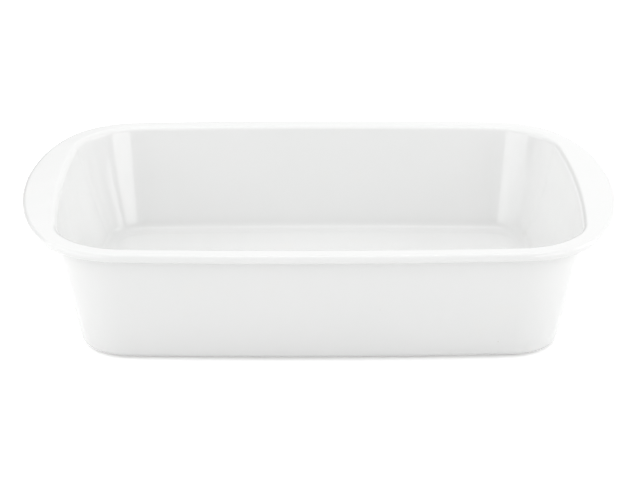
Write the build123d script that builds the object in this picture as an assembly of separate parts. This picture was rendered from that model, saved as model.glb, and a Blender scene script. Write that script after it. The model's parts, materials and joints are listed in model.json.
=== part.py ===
from build123d import *
import os
from dataclasses import dataclass
from math import atan2, cos, degrees, radians, sin, sqrt, tan

# Lasagna dish: one deep basin of fired clay with bowed sides and round corners. Its rim is a flat band
# that widens into a handle at each end. White glaze covers all of it but the foot ring under the base.
# Millimetres. X runs from handle to handle, Y across, Z up from the surface that the dish stands on.

# Mouth of the basin, measured where the leaning wall would meet the rim's top level
MOUTH_LENGTH = 321.6
MOUTH_WIDTH = 218.6
MOUTH_SIDE_BOW = 4.8
MOUTH_END_BOW = 9.3
MOUTH_CORNER_RADIUS = 43.6
DISH_HEIGHT = 77.4

# Wall and floor. WALL_LEAN is the wall's angle from upright, in degrees. The basin's side leans more the
# nearer it is to the floor, up to BASIN_FOOT_LEAN. It is made of rings, each straight from top to bottom
WALL_LEAN = 12.9
BASIN_FOOT_LEAN = 21.0
BASIN_RINGS = 4
WALL_THICKNESS = 4.0
FLOOR_THICKNESS = 9.5
FLOOR_FILLET_RADIUS = 8.0
BASE_EDGE_RADIUS = 4.0

# Rim, from the mouth outwards
RIM_WIDTH = 11.6
RIM_THICKNESS = 5.6
RIM_SIDE_BOW = 7.2
RIM_LIP_RADIUS = 4.0
RIM_EDGE_SHARE = 0.44
UNDER_RIM_RADIUS = 2.0

# Handles, from the mouth outwards. HANDLE_TIP_TURN is half the tip arc's angle, in degrees
HANDLE_REACH = 23.0
HANDLE_SHOULDER_RADIUS = 54.6
HANDLE_CHEEK_RADIUS = 136.0
HANDLE_TIP_RADIUS = 239.0
HANDLE_TIP_TURN = 13.6

# Foot ring and glaze
FOOT_HEIGHT = 1.5
FOOT_WIDTH = 5.0
FOOT_SETBACK = 2.0
FOOT_EDGE_RADIUS = 0.5
GLAZE_THICKNESS = 0.4


@dataclass(frozen=True)
class Outline:
    """Closed plan curve of tangent arcs, alike in its four quarters.

    The arcs are listed from the +X end round to the +Y side. turns holds the direction, in degrees, that
    each arc of the quarter starts to face, and its last value is 90.
    """

    centers: tuple
    radii: tuple
    turns: tuple

    def arc(self, index, grow, start, end):
        """One of the arcs between two directions, moved outwards by grow."""
        return CenterArc(self.centers[index], self.radii[index] + grow, start, end - start)

    def face(self, grow, height=0):
        """Flat face inside the outline, moved outwards by grow and lifted to height."""
        last = len(self.radii) - 1
        end = self.arc(0, grow, -self.turns[1], self.turns[1])
        side = self.arc(last, grow, self.turns[last], 180 - self.turns[last])
        corner = [self.arc(index, grow, self.turns[index], self.turns[index + 1]) for index in range(1, last)]
        right = [end] + corner + [arc.mirror(Plane.XZ) for arc in corner]
        edges = right + [arc.mirror(Plane.YZ) for arc in right] + [side, side.mirror(Plane.XZ)]
        return Face(Wire(edges)).moved(Location((0, 0, height)))


def bow_radius(half_span, bow):
    """Radius of an arc whose middle stands out by bow over half_span to either side."""
    return (half_span**2 + bow**2) / (2 * bow)


def facing(vector):
    """Direction of a plan vector, in degrees from +X."""
    return degrees(atan2(vector.Y, vector.X))


def corner_center(side_center, side_reach, end_center, end_reach):
    """Point at side_reach from side_center and end_reach from end_center, towards the corner."""
    span = end_center - side_center
    forward = span.normalized()
    along = (side_reach**2 - end_reach**2 + span.length**2) / (2 * span.length)
    across = sqrt(side_reach**2 - along**2)
    return side_center + forward * along + forward.rotate(Axis.Z, -90) * across


def mouth_outline():
    """Outline of the basin's mouth: two bowed sides, two bowed ends and round corners."""
    side_radius = bow_radius(MOUTH_LENGTH / 2, MOUTH_SIDE_BOW)
    end_radius = bow_radius(MOUTH_WIDTH / 2, MOUTH_END_BOW)
    side_center = Vector(0, MOUTH_WIDTH / 2 - side_radius)
    end_center = Vector(MOUTH_LENGTH / 2 - end_radius, 0)
    side_reach = side_radius - MOUTH_CORNER_RADIUS
    corner = corner_center(side_center, side_reach, end_center, end_radius - MOUTH_CORNER_RADIUS)
    turns = (0, facing(corner - end_center), facing(corner - side_center), 90)
    return Outline((end_center, corner, side_center), (end_radius, MOUTH_CORNER_RADIUS, side_radius), turns)


def rim_outline():
    """Outer outline of the rim: bowed sides, round shoulders and a blunt handle at each end."""
    half_length = MOUTH_LENGTH / 2 + HANDLE_REACH
    half_width = MOUTH_WIDTH / 2 + RIM_WIDTH
    side_radius = bow_radius(half_length, RIM_SIDE_BOW)
    side_center = Vector(0, half_width - side_radius)
    tip_center = Vector(half_length - HANDLE_TIP_RADIUS, 0)
    tip_direction = Vector(cos(radians(HANDLE_TIP_TURN)), sin(radians(HANDLE_TIP_TURN)))
    cheek_center = tip_center + tip_direction * (HANDLE_TIP_RADIUS - HANDLE_CHEEK_RADIUS)
    cheek_reach = HANDLE_CHEEK_RADIUS - HANDLE_SHOULDER_RADIUS
    shoulder = corner_center(side_center, side_radius - HANDLE_SHOULDER_RADIUS, cheek_center, cheek_reach)
    centers = (tip_center, cheek_center, shoulder, side_center)
    radii = (HANDLE_TIP_RADIUS, HANDLE_CHEEK_RADIUS, HANDLE_SHOULDER_RADIUS, side_radius)
    turns = (0, HANDLE_TIP_TURN, facing(shoulder - cheek_center), facing(shoulder - side_center), 90)
    return Outline(centers, radii, turns)


MOUTH = mouth_outline()
RIM = rim_outline()

# The wall leans outwards, so it is wider on the level than across its thickness
WALL_SLOPE = tan(radians(WALL_LEAN))
WALL_RUN = WALL_THICKNESS / cos(radians(WALL_LEAN))
BASE_GROW = WALL_RUN - DISH_HEIGHT * WALL_SLOPE
RIM_EDGE_RADIUS = RIM_EDGE_SHARE * RIM_THICKNESS


def leaning_solid(grow, bottom, top, lean=WALL_LEAN):
    """Solid between two levels inside a face that leans outwards and stands at grow at its top."""
    foot = MOUTH.face(grow - (top - bottom) * tan(radians(lean)), bottom)
    return extrude(foot, top - bottom, taper=-lean)


def hole_edges(solid, index):
    """Edges of the hole in one of a solid's level faces, counted from the lowest."""
    return solid.faces().filter_by(Axis.Z).sort_by(Axis.Z)[index].inner_wires().edges()


def wall_block(skin):
    """Block that the outer wall encloses, up to inside the rim, with its bottom edge rounded."""
    top = DISH_HEIGHT - RIM_THICKNESS / 2
    block = leaning_solid(WALL_RUN - skin - (DISH_HEIGHT - top) * WALL_SLOPE, FOOT_HEIGHT + skin, top)
    return fillet(block.edges().group_by(Axis.Z)[0], BASE_EDGE_RADIUS - skin)


def rim_plate(skin):
    """Plate of the rim and both handles, with round edges."""
    plate = extrude(RIM.face(-skin, DISH_HEIGHT - RIM_THICKNESS + skin), RIM_THICKNESS - 2 * skin)
    levels = plate.edges().group_by(Axis.Z)
    return fillet(levels[0] + levels[-1], RIM_EDGE_RADIUS - skin)


def basin_rings():
    """Rings of the basin's side from the rim down: level of the top, reach there, and lean in degrees."""
    height = (DISH_HEIGHT - FOOT_HEIGHT - FLOOR_THICKNESS) / BASIN_RINGS
    lean_step = (BASIN_FOOT_LEAN - WALL_LEAN) / BASIN_RINGS
    rings = []
    reach = 0
    for index in range(BASIN_RINGS):
        lean = WALL_LEAN + lean_step / 2 + lean_step * index
        rings.append((DISH_HEIGHT - height * index, reach, lean))
        reach -= height * tan(radians(lean))
    return rings


def basin_space(skin):
    """Space inside the basin, up to the rim's top level, with its floor edge rounded."""
    rings = basin_rings()
    bottoms = [ring[0] for ring in rings[1:]] + [FOOT_HEIGHT + FLOOR_THICKNESS - skin]
    space = Part()
    for (top, reach, lean), bottom in zip(rings, bottoms):
        space += leaning_solid(reach + skin, bottom, top, lean)
    return fillet(space.edges().group_by(Axis.Z)[0], FLOOR_FILLET_RADIUS + skin)


def under_rim_radius():
    """Fillet radius between the outer wall and the rim, no larger than the level strip there."""
    wall_there = WALL_RUN - RIM_THICKNESS * WALL_SLOPE
    strip = RIM_WIDTH - RIM_EDGE_RADIUS - wall_there
    return min(UNDER_RIM_RADIUS, strip * tan(radians(90 + WALL_LEAN) / 2) - GLAZE_THICKNESS)


def lip_radius():
    """Radius of the rim's inner edge, no larger than the rim's level top takes."""
    level_top = RIM_WIDTH - RIM_EDGE_RADIUS
    return min(RIM_LIP_RADIUS, level_top * tan(radians(90 + WALL_LEAN) / 2))


def dish_form(skin):
    """Dish without its foot ring, with every surface moved into the clay by skin."""
    outside = wall_block(skin) + rim_plate(skin)
    outside = fillet(hole_edges(outside, 1), under_rim_radius() + skin)
    form = outside - basin_space(skin)
    return fillet(hole_edges(form, -1), lip_radius() - skin)


def foot_ring():
    """Bare clay ring that the dish stands on, let in through the glaze to the clay above it."""
    outer = BASE_GROW - BASE_EDGE_RADIUS - FOOT_SETBACK
    flat_ring = MOUTH.face(outer) - MOUTH.face(outer - FOOT_WIDTH)
    ring = extrude(flat_ring, FOOT_HEIGHT + GLAZE_THICKNESS)
    return fillet(ring.edges().group_by(Axis.Z)[0], FOOT_EDGE_RADIUS)


def make_parts():
    """Solids of the dish by name: the clay body, the glaze over it and the patch inside the foot ring."""
    body = dish_form(GLAZE_THICKNESS) + foot_ring()
    glaze = (dish_form(0) - body).solids().sort_by(SortBy.VOLUME)
    return {"dish_body": body.solid(), "glaze_coat": glaze[-1], "base_glaze": glaze[0]}


os.makedirs("parts", exist_ok=True)
for name, solid in make_parts().items():
    solid.label = name
    export_step(solid, f"parts/{name}.step")
    print(name, round(solid.volume), "mm3")
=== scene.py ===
"""White glazed lasagna dish on a pale floor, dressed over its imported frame.

Metres. X runs from handle to handle, Z is up.
"""

import json
import logging
import math
from dataclasses import dataclass, field
from enum import Enum

import bmesh
import bpy
from mathutils import Matrix, Vector

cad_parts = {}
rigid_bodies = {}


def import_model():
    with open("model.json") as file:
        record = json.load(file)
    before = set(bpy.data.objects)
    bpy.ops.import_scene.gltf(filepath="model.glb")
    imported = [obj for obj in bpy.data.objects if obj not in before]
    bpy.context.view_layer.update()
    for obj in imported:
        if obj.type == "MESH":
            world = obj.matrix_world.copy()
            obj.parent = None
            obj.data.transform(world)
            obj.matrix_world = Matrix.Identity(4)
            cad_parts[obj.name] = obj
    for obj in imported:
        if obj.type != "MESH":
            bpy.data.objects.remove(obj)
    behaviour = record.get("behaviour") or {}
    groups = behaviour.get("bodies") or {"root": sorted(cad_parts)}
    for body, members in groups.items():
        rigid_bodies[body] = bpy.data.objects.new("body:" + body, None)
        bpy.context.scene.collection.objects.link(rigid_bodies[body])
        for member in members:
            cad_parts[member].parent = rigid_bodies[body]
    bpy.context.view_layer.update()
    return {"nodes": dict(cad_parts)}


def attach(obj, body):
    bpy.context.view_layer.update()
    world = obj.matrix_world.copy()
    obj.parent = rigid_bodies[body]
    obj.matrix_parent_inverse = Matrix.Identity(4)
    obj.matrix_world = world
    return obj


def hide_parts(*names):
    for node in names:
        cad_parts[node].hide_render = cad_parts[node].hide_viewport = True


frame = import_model()
MM = 0.001
MERGE_DISTANCE = 0.002 * MM
LEVEL_TOLERANCE = 0.01 * MM
log = logging.getLogger("dish")

Color = tuple[float, float, float, float]
Point = tuple[float, float, float]


# Plan outlines


@dataclass(frozen=True)
class Arc:
    """One arc of a plan outline: its centre, its radius and the directions it runs between, in radians."""

    center: tuple[float, float]
    radius: float
    start: float
    end: float
    steps: int

    def mirrored(self, sign_x: float, sign_y: float) -> "Arc":
        """Return the same arc with its centre carried to another quarter."""
        center = (self.center[0] * sign_x, self.center[1] * sign_y)
        return Arc(center, self.radius, self.start, self.end, self.steps)


@dataclass(frozen=True)
class Outline:
    """Closed plan curve of tangent arcs, alike in its four quarters."""

    quarter: tuple[Arc, ...]

    def round_trip(self) -> list[Arc]:
        """List the arcs all the way round, against the clock from the +X end.

        Returns:
            The arcs of the four quarters in the order in which they are met.
        """
        forward, backward = self.quarter, self.quarter[::-1]
        trip = [arc.mirrored(1, 1) for arc in forward]
        trip += [arc.mirrored(-1, 1) for arc in backward]
        trip += [arc.mirrored(-1, -1) for arc in forward]
        trip += [arc.mirrored(1, -1) for arc in backward]
        return trip


def bow_radius(half_span: float, bow: float) -> float:
    """Work out the radius of a shallow arc.

    Args:
        half_span: Half the width that the arc spans.
        bow: How far its middle stands out.

    Returns:
        The arc's radius.
    """
    return (half_span**2 + bow**2) / (2 * bow)


def corner_center(side: Vector, side_reach: float, end: Vector, end_reach: float) -> Vector:
    """Find the centre of the corner arc between a side arc and an end arc.

    Args:
        side: Centre of the side arc.
        side_reach: Distance wanted from it.
        end: Centre of the end arc.
        end_reach: Distance wanted from it.

    Returns:
        The point at both distances, on the corner's side.
    """
    span = end - side
    along = (side_reach**2 - end_reach**2 + span.length_squared) / (2 * span.length)
    across = math.sqrt(side_reach**2 - along**2)
    forward = span.normalized()
    return side + forward * along + Vector((forward.y, -forward.x)) * across


def facing(vector: Vector) -> float:
    """Direction of a plan vector, in radians from +X."""
    return math.atan2(vector.y, vector.x)


@dataclass(frozen=True)
class MouthPlan:
    """Sizes of the basin's mouth, taken where the wall would meet the rim's top level."""

    length: float = 321.6 * MM
    width: float = 218.6 * MM
    side_bow: float = 4.8 * MM
    end_bow: float = 9.3 * MM
    corner_radius: float = 43.6 * MM
    end_steps: int = 8
    corner_steps: int = 28
    side_steps: int = 10

    def outline(self) -> Outline:
        """Return the mouth's outline."""
        side_radius = bow_radius(self.length / 2, self.side_bow)
        end_radius = bow_radius(self.width / 2, self.end_bow)
        side = Vector((0, self.width / 2 - side_radius))
        end = Vector((self.length / 2 - end_radius, 0))
        corner = corner_center(side, side_radius - self.corner_radius, end, end_radius - self.corner_radius)
        turns = (0.0, facing(corner - end), facing(corner - side), math.pi / 2)
        return Outline((
            Arc(tuple(end), end_radius, turns[0], turns[1], self.end_steps),
            Arc(tuple(corner), self.corner_radius, turns[1], turns[2], self.corner_steps),
            Arc(tuple(side), side_radius, turns[2], turns[3], self.side_steps),
        ))


@dataclass(frozen=True)
class RimPlan:
    """Sizes of the rim's outer edge, which widens into a blunt handle at each end.

    Both half sizes are 0.05 mm under the solid's, so that this finer mesh stays inside the frame's box.
    """

    half_length: float = 183.75 * MM
    half_width: float = 120.85 * MM
    side_bow: float = 7.2 * MM
    shoulder_radius: float = 54.6 * MM
    cheek_radius: float = 136.0 * MM
    tip_radius: float = 239.0 * MM
    tip_turn: float = math.radians(13.6)
    tip_steps: int = 8
    cheek_steps: int = 9
    shoulder_steps: int = 19
    side_steps: int = 10

    def outline(self) -> Outline:
        """Return the rim's outer outline."""
        side_radius = bow_radius(self.half_length, self.side_bow)
        side = Vector((0, self.half_width - side_radius))
        tip = Vector((self.half_length - self.tip_radius, 0))
        toward = Vector((math.cos(self.tip_turn), math.sin(self.tip_turn)))
        cheek = tip + toward * (self.tip_radius - self.cheek_radius)
        reaches = side_radius - self.shoulder_radius, self.cheek_radius - self.shoulder_radius
        shoulder = corner_center(side, reaches[0], cheek, reaches[1])
        turns = (0.0, self.tip_turn, facing(shoulder - cheek), facing(shoulder - side), math.pi / 2)
        return Outline((
            Arc(tuple(tip), self.tip_radius, turns[0], turns[1], self.tip_steps),
            Arc(tuple(cheek), self.cheek_radius, turns[1], turns[2], self.cheek_steps),
            Arc(tuple(shoulder), self.shoulder_radius, turns[2], turns[3], self.shoulder_steps),
            Arc(tuple(side), side_radius, turns[3], turns[4], self.side_steps),
        ))


# Shaping by operators


class Bench:
    """The edit-mode moves that the pieces share."""

    @staticmethod
    def clear() -> None:
        """Leave edit mode and deselect everything."""
        if bpy.context.object and bpy.context.object.mode != "OBJECT":
            bpy.ops.object.mode_set(mode="OBJECT")
        bpy.ops.object.select_all(action="DESELECT")

    @staticmethod
    def start_line(name: str, point: Point) -> bpy.types.Object:
        """Begin a new object with one selected vertex, in edit mode.

        Args:
            name: The object's name.
            point: Where the vertex stands.

        Returns:
            The new object.
        """
        Bench.clear()
        bpy.ops.mesh.primitive_plane_add(size=MM)
        made = bpy.context.object
        made.name = made.data.name = name
        bpy.ops.object.mode_set(mode="EDIT")
        bpy.ops.mesh.merge(type="CENTER")
        bpy.ops.transform.translate(value=point)
        return made

    @staticmethod
    def select_open_edges(piece: bpy.types.Object, level: float) -> None:
        """Select the edges at one level that have a face on one side only.

        Args:
            piece: The object in edit mode.
            level: Their height.
        """
        bpy.ops.mesh.select_all(action="DESELECT")
        bpy.ops.mesh.select_mode(type="EDGE")
        shape = bmesh.from_edit_mesh(piece.data)
        for edge in shape.edges:
            if edge.is_boundary and all(abs(vert.co.z - level) < LEVEL_TOLERANCE for vert in edge.verts):
                edge.select_set(True)
        bmesh.update_edit_mesh(piece.data)

    @staticmethod
    def apply_modifier(piece: bpy.types.Object, kind: str, **settings: object) -> None:
        """Add a modifier to the active object and apply it.

        Args:
            piece: The active object.
            kind: The modifier's type.
            settings: Its values by name.
        """
        added = piece.modifiers.new(kind.title(), kind)
        for key, value in settings.items():
            setattr(added, key, value)
        bpy.ops.object.modifier_apply(modifier=added.name)


@dataclass
class ProfilePen:
    """Draws a section in the XZ plane by extruding and spinning its last vertex."""

    x: float
    z: float
    heading: float = 0.0

    def run(self, length: float, cuts: int = 1) -> None:
        """Draw a straight run.

        Args:
            length: Its length.
            cuts: How many equal edges make it up.
        """
        step = Vector((math.cos(self.heading), 0, math.sin(self.heading))) * (length / cuts)
        for _ in range(cuts):
            bpy.ops.mesh.extrude_region_move(TRANSFORM_OT_translate={"value": step})
        self.x += step.x * cuts
        self.z += step.z * cuts

    def bend(self, radius: float, turn: float, steps: int) -> None:
        """Draw an arc that carries on from the last run.

        Args:
            radius: The arc's radius.
            turn: How far it turns, in radians, to the left when positive.
            steps: How many edges make it up.
        """
        side = math.copysign(radius, turn)
        center = (self.x - math.sin(self.heading) * side, 0, self.z + math.cos(self.heading) * side)
        bpy.ops.mesh.spin(steps=steps, angle=turn, center=center, axis=(0, 1, 0))
        self.heading += turn
        self.x = center[0] + math.sin(self.heading) * side
        self.z = center[2] - math.cos(self.heading) * side


def sweep_round(outline: Outline) -> None:
    """Carry the drawn section once round a plan outline, arc by arc.

    Args:
        outline: The outline that the section follows.
    """
    bpy.ops.mesh.select_all(action="SELECT")
    for arc in outline.round_trip():
        turn = arc.start - arc.end
        bpy.ops.mesh.spin(steps=arc.steps, angle=turn, center=(*arc.center, 0), axis=(0, 0, 1))
    bpy.ops.mesh.select_all(action="SELECT")
    bpy.ops.mesh.remove_doubles(threshold=MERGE_DISTANCE)


# Finishes


@dataclass(frozen=True)
class Cloud:
    """A soft noise pattern: its fineness, its detail and the part of its grey range that counts."""

    scale: float
    detail: float = 2.0
    low: float = 0.3
    high: float = 0.7


@dataclass(frozen=True)
class Relief:
    """A shallow unevenness: the noise that draws it, how strongly it shows and its height."""

    scale: float
    strength: float
    height: float
    detail: float = 2.0


class Nodes:
    """A short way to write a node tree."""

    def __init__(self, tree: bpy.types.NodeTree, output: str) -> None:
        """Empty a tree and give it an output.

        Args:
            tree: The node tree.
            output: The output node's type.
        """
        self.tree = tree
        self.tree.nodes.clear()
        self.output = self.add(output)

    @staticmethod
    def material(name: str) -> tuple[bpy.types.Material, "Nodes"]:
        """Make a material.

        Args:
            name: Its name.

        Returns:
            The material and its node tree's helper.
        """
        made = bpy.data.materials.new(name)
        made.use_nodes = True
        return made, Nodes(made.node_tree, "ShaderNodeOutputMaterial")

    def add(self, kind: str, **values: object) -> bpy.types.Node:
        """Add a node.

        Args:
            kind: The node's type.
            values: Settings by name. A name that is a socket's, with _ for a blank, sets that socket.

        Returns:
            The new node.
        """
        node = self.tree.nodes.new(kind)
        for key, value in values.items():
            socket = node.inputs.get(key.replace("_", " "))
            if socket is None:
                setattr(node, key, value)
            else:
                self.feed(socket, value)
        return node

    def feed(self, socket: bpy.types.NodeSocket, value: object) -> None:
        """Join a socket to another one, or set its value."""
        if isinstance(value, bpy.types.NodeSocket):
            self.tree.links.new(value, socket)
        else:
            socket.default_value = value

    def combine(self, operation: str, first: object, second: object) -> bpy.types.NodeSocket:
        """Carry out one sum on two values and return the result."""
        node = self.add("ShaderNodeMath", operation=operation)
        self.feed(node.inputs[0], first)
        self.feed(node.inputs[1], second)
        return node.outputs[0]

    def noise(self, where: bpy.types.NodeSocket, scale: float, detail: float) -> bpy.types.NodeSocket:
        """Add a noise texture and return its grey output."""
        return self.add("ShaderNodeTexNoise", Vector=where, Scale=scale, Detail=detail).outputs["Fac"]

    def spread(
        self, value: bpy.types.NodeSocket, low: float, high: float, to_low: float, to_high: float
    ) -> bpy.types.NodeSocket:
        """Carry a value from one range to another.

        Args:
            value: The value.
            low: Where its range starts.
            high: Where its range ends.
            to_low: What low becomes.
            to_high: What high becomes.

        Returns:
            The carried value, held within the new range.
        """
        node = self.add(
            "ShaderNodeMapRange", Value=value, From_Min=low, From_Max=high, To_Min=to_low, To_Max=to_high
        )
        return node.outputs["Result"]

    def cloud(
        self, where: bpy.types.NodeSocket, cloud: Cloud, to_low: float = 0.0, to_high: float = 1.0
    ) -> bpy.types.NodeSocket:
        """Draw a soft noise pattern.

        Args:
            where: The place on the surface.
            cloud: The pattern.
            to_low: Its value where it is weakest.
            to_high: Its value where it is strongest.

        Returns:
            The pattern's value.
        """
        grey = self.noise(where, cloud.scale, cloud.detail)
        return self.spread(grey, cloud.low, cloud.high, to_low, to_high)

    def relief(
        self, where: bpy.types.NodeSocket, relief: Relief, below: bpy.types.NodeSocket | None = None
    ) -> bpy.types.NodeSocket:
        """Make the surface uneven.

        Args:
            where: The place on the surface.
            relief: The unevenness.
            below: The unevenness that it lies on.

        Returns:
            The surface's new normal.
        """
        height = self.noise(where, relief.scale, relief.detail)
        bump = self.add("ShaderNodeBump", Strength=relief.strength, Distance=relief.height, Height=height)
        if below is not None:
            self.feed(bump.inputs["Normal"], below)
        return bump.outputs[0]

    def blend(self, factor: bpy.types.NodeSocket, first: object, second: object) -> bpy.types.NodeSocket:
        """Mix two colours by a factor and return the mixed colour."""
        node = self.add("ShaderNodeMix", data_type="RGBA")
        self.feed(node.inputs["Factor"], factor)
        self.feed(node.inputs[6], first)
        self.feed(node.inputs[7], second)
        return node.outputs[2]

    def seen_or_mirrored(self, path: bpy.types.Node) -> bpy.types.NodeSocket:
        """Tell rays that show something from rays that only light it.

        Args:
            path: A Light Path node.

        Returns:
            1 for camera, glossy and transmission rays, and 0 for the others.
        """
        seen = self.combine("MAXIMUM", path.outputs["Is Camera Ray"], path.outputs["Is Glossy Ray"])
        return self.combine("MAXIMUM", seen, path.outputs["Is Transmission Ray"])


@dataclass(frozen=True)
class WhiteGlaze:
    """Glossy white glaze: an even melted skin with a faint orange peel, a slow ripple and rare pinholes.

    It is warmer where it is thin, and darker in every nook and crease: partly glaze that gathers there,
    partly painted shade from an ambient occlusion mask.
    """

    color: Color = (0.83, 0.832, 0.828, 1.0)
    pooled: Color = (0.82, 0.825, 0.82, 1.0)
    thin: Color = (0.83, 0.825, 0.805, 1.0)
    thin_most: float = 0.5
    pinhole: Color = (0.62, 0.58, 0.52, 1.0)
    # Darker nook tone: partly glaze that gathers there, partly painted shade under the rim and at the floor's
    # edge.
    gathered_glaze_and_shade: Color = (0.66, 0.665, 0.655, 1.0)
    pooled_cloud: Cloud = Cloud(14.0, 3.0, 0.35, 0.7)
    thin_cloud: Cloud = Cloud(46.0, 4.0, 0.6, 0.8)
    rare_cloud: Cloud = Cloud(23.0, 1.0, 0.6, 0.64)
    gloss_cloud: Cloud = Cloud(60.0, 3.0)
    gloss_low: float = 0.07
    gloss_high: float = 0.13
    pinhole_scale: float = 70.0
    pinhole_core: float = 0.012
    pinhole_edge: float = 0.028
    pinhole_strength: float = 0.5
    pinhole_depth: float = 0.2 * MM
    nook_reach: float = 14 * MM
    nook_samples: int = 8
    nook_closed: float = 0.5
    nook_open: float = 0.9
    ripple: Relief = Relief(30.0, 0.25, 0.6 * MM)
    peel: Relief = Relief(900.0, 0.08, 0.08 * MM)
    ior: float = 1.52

    def make(self) -> bpy.types.Material:
        """Build the material.

        Returns:
            The finished material.
        """
        material, nodes = Nodes.material("white_glaze")
        place = nodes.add("ShaderNodeTexCoord").outputs["Object"]
        color = nodes.blend(nodes.cloud(place, self.pooled_cloud), self.color, self.pooled)
        color = nodes.blend(nodes.cloud(place, self.thin_cloud, 0.0, self.thin_most), color, self.thin)
        hole = self.pinholes(nodes, place)
        color = nodes.blend(hole, color, self.pinhole)
        # Darkening by ambient occlusion: partly glaze that gathers, partly painted shade.
        color = nodes.blend(self.nook_glaze_and_shade(nodes), color, self.gathered_glaze_and_shade)
        roughness = nodes.cloud(place, self.gloss_cloud, self.gloss_low, self.gloss_high)
        skin = nodes.relief(place, self.peel, nodes.relief(place, self.ripple))
        pit = nodes.add(
            "ShaderNodeBump", invert=True, Strength=self.pinhole_strength, Distance=self.pinhole_depth,
            Height=hole, Normal=skin,
        )
        shader = nodes.add(
            "ShaderNodeBsdfPrincipled", Base_Color=color, Roughness=roughness, IOR=self.ior,
            Normal=pit.outputs[0],
        )
        nodes.feed(nodes.output.inputs["Surface"], shader.outputs[0])
        return material

    def pinholes(self, nodes: Nodes, place: bpy.types.NodeSocket) -> bpy.types.NodeSocket:
        """Scatter rare pinholes.

        Args:
            nodes: The material's helper.
            place: The place on the surface.

        Returns:
            1 in a pinhole and 0 elsewhere.
        """
        cells = nodes.add("ShaderNodeTexVoronoi", Vector=place, Scale=self.pinhole_scale, Randomness=1.0)
        spots = nodes.spread(cells.outputs["Distance"], self.pinhole_core, self.pinhole_edge, 1.0, 0.0)
        return nodes.combine("MULTIPLY", spots, nodes.cloud(place, self.rare_cloud))

    def nook_glaze_and_shade(self, nodes: Nodes) -> bpy.types.NodeSocket:
        """Find each nook and crease, where glaze gathers and where the darker tone is partly painted shade.

        Args:
            nodes: The material's helper.

        Returns:
            1 deep in a nook and 0 on an open face.
        """
        # The ambient occlusion here drives painted shade as well as glaze that gathers in creases.
        nook = nodes.add(
            "ShaderNodeAmbientOcclusion", only_local=True, samples=self.nook_samples, Distance=self.nook_reach
        )
        return nodes.spread(nook.outputs["AO"], self.nook_closed, self.nook_open, 1.0, 0.0)


@dataclass(frozen=True)
class BareClay:
    """Bare fired clay: matt and buff, with a fine grain and small darker specks."""

    color: Color = (0.84, 0.80, 0.73, 1.0)
    darker: Color = (0.76, 0.70, 0.61, 1.0)
    speck: Color = (0.42, 0.33, 0.25, 1.0)
    darker_cloud: Cloud = Cloud(60.0, 4.0)
    rough_cloud: Cloud = Cloud(300.0)
    rough_low: float = 0.78
    rough_high: float = 0.92
    speck_scale: float = 420.0
    speck_core: float = 0.08
    speck_edge: float = 0.16
    grain: Relief = Relief(2600.0, 0.45, 0.1 * MM, 3.0)

    def make(self) -> bpy.types.Material:
        """Build the material.

        Returns:
            The finished material.
        """
        material, nodes = Nodes.material("fired_clay")
        place = nodes.add("ShaderNodeTexCoord").outputs["Object"]
        color = nodes.blend(nodes.cloud(place, self.darker_cloud), self.color, self.darker)
        cells = nodes.add("ShaderNodeTexVoronoi", Vector=place, Scale=self.speck_scale, Randomness=1.0)
        specks = nodes.spread(cells.outputs["Distance"], self.speck_core, self.speck_edge, 1.0, 0.0)
        color = nodes.blend(specks, color, self.speck)
        roughness = nodes.cloud(place, self.rough_cloud, self.rough_low, self.rough_high)
        grain = nodes.relief(place, self.grain)
        shader = nodes.add("ShaderNodeBsdfPrincipled", Base_Color=color, Roughness=roughness, Normal=grain)
        nodes.feed(nodes.output.inputs["Surface"], shader.outputs[0])
        return material


@dataclass(frozen=True)
class StudioWhite:
    """Floor finish: plain white that keeps the object's shadow and shows white to the camera."""

    color: Color = (0.9, 0.9, 0.9, 1.0)
    glow: float = 0.35

    def make(self) -> bpy.types.Material:
        """Build the material.

        Returns:
            The finished material.
        """
        material, nodes = Nodes.material("studio_white")
        seen = nodes.seen_or_mirrored(nodes.add("ShaderNodeLightPath"))
        matt = nodes.add("ShaderNodeBsdfDiffuse", Color=self.color)
        light = nodes.add("ShaderNodeEmission", Strength=nodes.spread(seen, 0.0, 1.0, 0.0, self.glow))
        both = nodes.add("ShaderNodeAddShader")
        nodes.feed(both.inputs[0], matt.outputs[0])
        nodes.feed(both.inputs[1], light.outputs[0])
        nodes.feed(nodes.output.inputs["Surface"], both.outputs[0])
        return material


# Pieces


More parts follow.
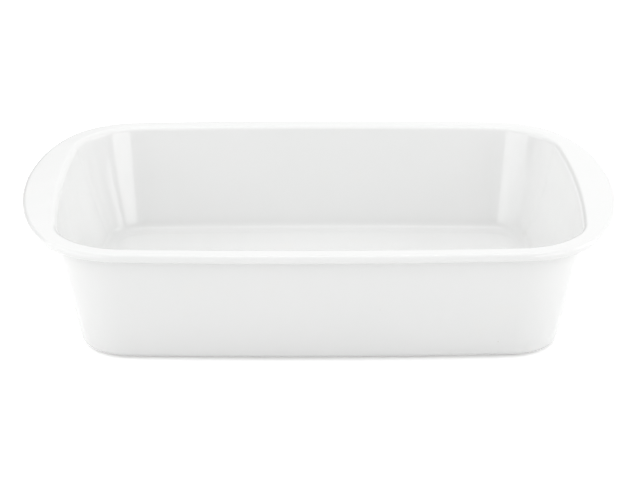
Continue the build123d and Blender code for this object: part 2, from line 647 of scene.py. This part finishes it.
@dataclass
class GlazeCoat:
    """The glaze over the whole dish: basin inside and out, rim, both handles and the base edge.

    lean is the outer wall's angle from upright. The basin's side starts at it under the rim and leans more
    the lower it is, up to foot_lean. support is the short straight edge at each end of a rounding.
    """

    mouth: MouthPlan = field(default_factory=MouthPlan)
    rim: RimPlan = field(default_factory=RimPlan)
    height: float = 77.4 * MM
    lean: float = math.radians(12.9)
    foot_lean: float = math.radians(21.0)
    wall: float = 4.0 * MM
    base_level: float = 1.5 * MM
    floor_level: float = 11.0 * MM
    base_edge_radius: float = 4.0 * MM
    foot_setback: float = 2.0 * MM
    floor_radius: float = 8.0 * MM
    lip_radius: float = 4.0 * MM
    under_radius: float = 2.0 * MM
    rim_thickness: float = 5.6 * MM
    rim_edge_radius: float = 2.464 * MM
    thickness: float = 0.4 * MM
    support: float = 0.6 * MM
    floor_inset: float = 9 * MM
    base_cuts: int = 3
    wall_cuts: int = 6
    rim_cuts: int = 3
    base_edge_steps: int = 10
    under_steps: int = 8
    lip_steps: int = 12
    side_steps: int = 20
    floor_steps: int = 14
    rim_edge_steps: int = 8
    smooth_below: float = math.radians(40)
    normal_weight: int = 80

    @property
    def turn(self) -> float:
        """Angle between the wall and the level, in radians."""
        return math.pi / 2 - self.lean

    def tangent(self, radius: float) -> float:
        """Distance from a corner between wall and level to the start of its rounding."""
        return radius * math.tan(self.turn / 2)

    def section_outside(self) -> bpy.types.Object:
        """Draw the outer section: base, base edge, wall and the fillet under the rim.

        Returns:
            The object that holds the line.
        """
        run_out = self.wall / math.cos(self.lean)
        slope = math.tan(self.lean)
        reach = self.mouth.length / 2 + run_out
        ring = reach - self.height * slope - self.base_edge_radius - self.foot_setback
        foot = reach - (self.height - self.base_level) * slope
        under_level = self.height - self.rim_thickness
        wall = (under_level - self.base_level) / math.cos(self.lean)
        pen = ProfilePen(ring, self.base_level)
        line = Bench.start_line("glaze_coat", (ring, 0, self.base_level))
        pen.run(foot - self.tangent(self.base_edge_radius) - ring, self.base_cuts)
        pen.bend(self.base_edge_radius, self.turn, self.base_edge_steps)
        pen.run(self.support)
        straight = wall - self.tangent(self.base_edge_radius + self.under_radius) - 2 * self.support
        pen.run(straight, self.wall_cuts)
        pen.run(self.support)
        pen.bend(self.under_radius, -self.turn, self.under_steps)
        pen.run(self.support)
        return line

    def section_inside(self) -> bpy.types.Object:
        """Draw the inner section: lip, wall, floor fillet and the start of the floor.

        Returns:
            The object that holds the line.
        """
        start = self.mouth.length / 2 + self.tangent(self.lip_radius) + self.support
        pen = ProfilePen(start, self.height, math.pi)
        line = Bench.start_line("glaze_inside", (start, 0, self.height))
        pen.run(self.support)
        pen.bend(self.lip_radius, self.turn, self.lip_steps)
        pen.run(self.support)
        drop = pen.z - self.floor_level - self.floor_radius * (1 - math.sin(self.foot_lean))
        sweep = drop / (math.sin(self.foot_lean) - math.sin(self.lean))
        pen.bend(sweep, self.lean - self.foot_lean, self.side_steps)
        pen.bend(self.floor_radius, self.foot_lean - math.pi / 2, self.floor_steps)
        pen.run(self.support)
        return line

    def section_rim(self) -> bpy.types.Object:
        """Draw the rim's outer edge.

        Returns:
            The object that holds the line.
        """
        start = self.rim.half_length - self.rim_edge_radius - self.support
        level = self.height - self.rim_thickness
        pen = ProfilePen(start, level)
        line = Bench.start_line("glaze_rim", (start, 0, level))
        pen.run(self.support)
        pen.bend(self.rim_edge_radius, math.pi / 2, self.rim_edge_steps)
        pen.run(self.rim_thickness - 2 * self.rim_edge_radius)
        pen.bend(self.rim_edge_radius, math.pi / 2, self.rim_edge_steps)
        pen.run(self.support)
        return line

    def build(self) -> bpy.types.Object:
        """Model the coat as one closed skin.

        Returns:
            The finished piece.
        """
        coat = self.section_outside()
        sweep_round(self.mouth.outline())
        inside = self.section_inside()
        sweep_round(self.mouth.outline())
        edge = self.section_rim()
        sweep_round(self.rim.outline())
        Bench.clear()
        for part in (inside, edge, coat):
            part.select_set(True)
        bpy.context.view_layer.objects.active = coat
        bpy.ops.object.join()
        bpy.ops.object.mode_set(mode="EDIT")
        for level in (self.height, self.height - self.rim_thickness):
            Bench.select_open_edges(coat, level)
            bpy.ops.mesh.bridge_edge_loops(number_cuts=self.rim_cuts, interpolation="LINEAR")
        Bench.select_open_edges(coat, self.floor_level)
        bpy.ops.mesh.edge_face_add()
        bpy.ops.mesh.inset(thickness=self.floor_inset)
        bpy.ops.mesh.select_all(action="SELECT")
        bpy.ops.mesh.remove_doubles(threshold=MERGE_DISTANCE)
        bpy.ops.mesh.normals_make_consistent(inside=False)
        bpy.ops.object.mode_set(mode="OBJECT")
        self.face_outwards(coat)
        Bench.apply_modifier(coat, "SOLIDIFY", thickness=self.thickness, offset=-1.0, use_even_offset=True)
        bpy.ops.object.shade_smooth_by_angle(angle=self.smooth_below)
        Bench.apply_modifier(coat, "WEIGHTED_NORMAL", keep_sharp=True, weight=self.normal_weight)
        return coat

    def face_outwards(self, coat: bpy.types.Object) -> None:
        """Turn the skin over if its floor faces down.

        Args:
            coat: The skin before it gets its thickness.
        """
        floor = max(coat.data.polygons, key=lambda face: face.area)
        if floor.normal.z < 0:
            bpy.ops.object.mode_set(mode="EDIT")
            bpy.ops.mesh.select_all(action="SELECT")
            bpy.ops.mesh.flip_normals()
            bpy.ops.object.mode_set(mode="OBJECT")

    def dress(self, coat: bpy.types.Object, glaze: bpy.types.Material) -> None:
        """Give the coat its finish and its place in the frame.

        Args:
            coat: The finished piece.
            glaze: Its material.
        """
        coat.data.materials.clear()
        coat.data.materials.append(glaze)
        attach(coat, "root")
        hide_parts("glaze_coat")


@dataclass
class CarriedNode:
    """A solid of the frame that stays as it is and gets a better finish."""

    node: str

    def dress(self, material: bpy.types.Material) -> None:
        """Put a material on every slot of the node.

        Args:
            material: The finish.
        """
        for holder in frame["nodes"][self.node].material_slots:
            holder.material = material


# Studio


@dataclass(frozen=True)
class SoftBox:
    """One soft lamp: its place, the point that it faces, its size and its power.

    A card is a soft lamp that the dish mirrors and that does not light it.
    """

    place: Point
    toward: Point
    width: float
    height: float
    power: float
    card: bool = False


class Lamp(Enum):
    """The soft lamps and cards round the dish."""

    OVERHEAD = SoftBox((0.0, 0.1, 1.5), (0.0, 0.0, 0.0), 1.6, 1.2, power=2.2)
    LEFT_BOX = SoftBox((-1.5, 0.0, 0.6), (0.0, 0.0, 0.05), 1.0, 0.8, power=4.2)
    RIGHT_BOX = SoftBox((1.5, 0.0, 0.6), (0.0, 0.0, 0.05), 1.0, 0.8, power=4.4)
    TOP_CARD = SoftBox((0.0, -0.2, 1.2), (0.0, 0.0, 0.0), 1.3, 0.2, power=2.2, card=True)
    RIGHT_CARD = SoftBox((0.80, -0.95, 0.3), (0.0, 0.0, 0.3), 0.8, 0.56, power=3.1, card=True)
    LEFT_CARD = SoftBox((-0.92, -0.80, 0.3), (0.0, 0.0, 0.3), 1.05, 0.56, power=3.6, card=True)


@dataclass(frozen=True)
class Fade:
    """A slow change across the room: the direction it follows, where it starts and where it is full."""

    toward: Point
    start: float
    full: float


@dataclass
class Studio:
    """Floor, surroundings, lamps and camera."""

    floor_radius: float = 6.0
    floor_sides: int = 96
    surroundings: float = 0.98
    white: Color = (1.0, 1.0, 1.0, 1.0)
    dark_side: Fade = Fade((-0.85, 0.53, 0.0), 0.1, 0.6)
    dark_below: Fade = Fade((0.45, -0.1, 0.89), 0.2, 0.06)
    dark_level: float = 0.0
    azimuth: float = math.radians(-0.901)
    elevation: float = math.radians(22.0)
    roll: float = math.radians(0.1762)
    distance: float = 1368.2 * MM
    target: Point = (0.8154 * MM, 0.0, 38.7383 * MM)
    focal_length: float = 121.92
    sensor_width: float = 36.0
    nearest: float = 0.05
    furthest: float = 40.0

    def build_floor(self, finish: bpy.types.Material) -> None:
        """Lay the floor.

        Args:
            finish: Its material.
        """
        Bench.clear()
        bpy.ops.mesh.primitive_circle_add(
            vertices=self.floor_sides, radius=self.floor_radius, fill_type="NGON", location=(0, 0, 0)
        )
        floor = bpy.context.object
        floor.name = floor.data.name = "studio_floor"
        floor.data.materials.append(finish)

    def build_surroundings(self) -> None:
        """Make the world: white where it is seen or mirrored, and softer where it lights."""
        world = bpy.data.worlds.new("studio")
        bpy.context.scene.world = world
        world.use_nodes = True
        nodes = Nodes(world.node_tree, "ShaderNodeOutputWorld")
        path = nodes.add("ShaderNodeLightPath")
        level = nodes.spread(nodes.seen_or_mirrored(path), 0.0, 1.0, self.surroundings, 1.0)
        strength = nodes.combine("MULTIPLY", level, self.dim_corner(nodes, path))
        sky = nodes.add("ShaderNodeBackground", Color=self.white, Strength=strength)
        nodes.feed(nodes.output.inputs["Surface"], sky.outputs[0])

    def dim_corner(self, nodes: Nodes, path: bpy.types.Node) -> bpy.types.NodeSocket:
        """Darken the low part of the room's back left side, where it is mirrored.

        Args:
            nodes: The world's helper.
            path: Its Light Path node.

        Returns:
            The share of the room's brightness that is left.
        """
        direction = nodes.add("ShaderNodeTexCoord").outputs["Generated"]
        side = self.fade(nodes, direction, self.dark_side)
        below = self.fade(nodes, direction, self.dark_below)
        share = nodes.combine("MULTIPLY", side, below)
        share = nodes.combine("MULTIPLY", share, path.outputs["Is Glossy Ray"])
        return nodes.spread(share, 0.0, 1.0, 1.0, self.dark_level)

    @staticmethod
    def fade(nodes: Nodes, direction: bpy.types.NodeSocket, fade: Fade) -> bpy.types.NodeSocket:
        """Draw one slow change across the room.

        Args:
            nodes: The world's helper.
            direction: The direction looked in.
            fade: The change.

        Returns:
            0 before it starts and 1 where it is full.
        """
        along = nodes.add("ShaderNodeVectorMath", operation="DOT_PRODUCT")
        nodes.feed(along.inputs[0], direction)
        nodes.feed(along.inputs[1], fade.toward)
        ramp = nodes.add(
            "ShaderNodeMapRange", interpolation_type="SMOOTHSTEP", Value=along.outputs["Value"],
            From_Min=fade.start, From_Max=fade.full,
        )
        return ramp.outputs["Result"]

    def hang_lamp(self, lamp: Lamp) -> None:
        """Hang one soft lamp.

        Args:
            lamp: Which one.
        """
        box = lamp.value
        Bench.clear()
        bpy.ops.object.light_add(type="AREA", location=box.place)
        hung = bpy.context.object
        hung.name = hung.data.name = lamp.name.lower()
        hung.data.shape = "RECTANGLE"
        hung.data.size = box.width
        hung.data.size_y = box.height
        hung.data.energy = box.power
        aim = Vector(box.toward) - Vector(box.place)
        hung.rotation_euler = aim.to_track_quat("-Z", "Y").to_euler()
        hung.visible_camera = False
        hung.visible_diffuse = not box.card

    def place_camera(self) -> None:
        """Stand the camera at the photograph's viewing angle."""
        Bench.clear()
        bpy.ops.object.camera_add()
        camera = bpy.context.object
        level = math.cos(self.elevation)
        right = Vector((math.cos(self.azimuth), math.sin(self.azimuth), 0))
        back = Vector((right.y * level, -right.x * level, math.sin(self.elevation)))
        up = back.cross(right)
        turned = right * math.cos(self.roll) + up * math.sin(self.roll)
        raised = up * math.cos(self.roll) - right * math.sin(self.roll)
        stance = Matrix((turned, raised, back)).transposed().to_4x4()
        camera.matrix_world = Matrix.Translation(Vector(self.target) + back * self.distance) @ stance
        camera.data.lens = self.focal_length
        camera.data.sensor_width = self.sensor_width
        camera.data.clip_start = self.nearest
        camera.data.clip_end = self.furthest
        bpy.context.scene.camera = camera


def main() -> None:
    """Build the pieces in order, then the studio round them."""
    logging.basicConfig(level=logging.INFO, format="%(name)s: %(message)s")
    glaze, clay = WhiteGlaze().make(), BareClay().make()
    coat = GlazeCoat()
    piece = coat.build()
    coat.dress(piece, glaze)
    log.info("glaze_coat: %d faces", len(piece.data.polygons))
    CarriedNode("dish_body").dress(clay)
    log.info("dish_body: bare clay")
    CarriedNode("base_glaze").dress(glaze)
    log.info("base_glaze: glaze")
    studio = Studio()
    studio.build_floor(StudioWhite().make())
    studio.build_surroundings()
    for lamp in Lamp:
        studio.hang_lamp(lamp)
        log.info("lamp %s", lamp.name.lower())
    studio.place_camera()
    view = bpy.context.scene.view_settings
    view.view_transform = "Standard"
    Bench.clear()


if __name__ == "__main__":
    main()
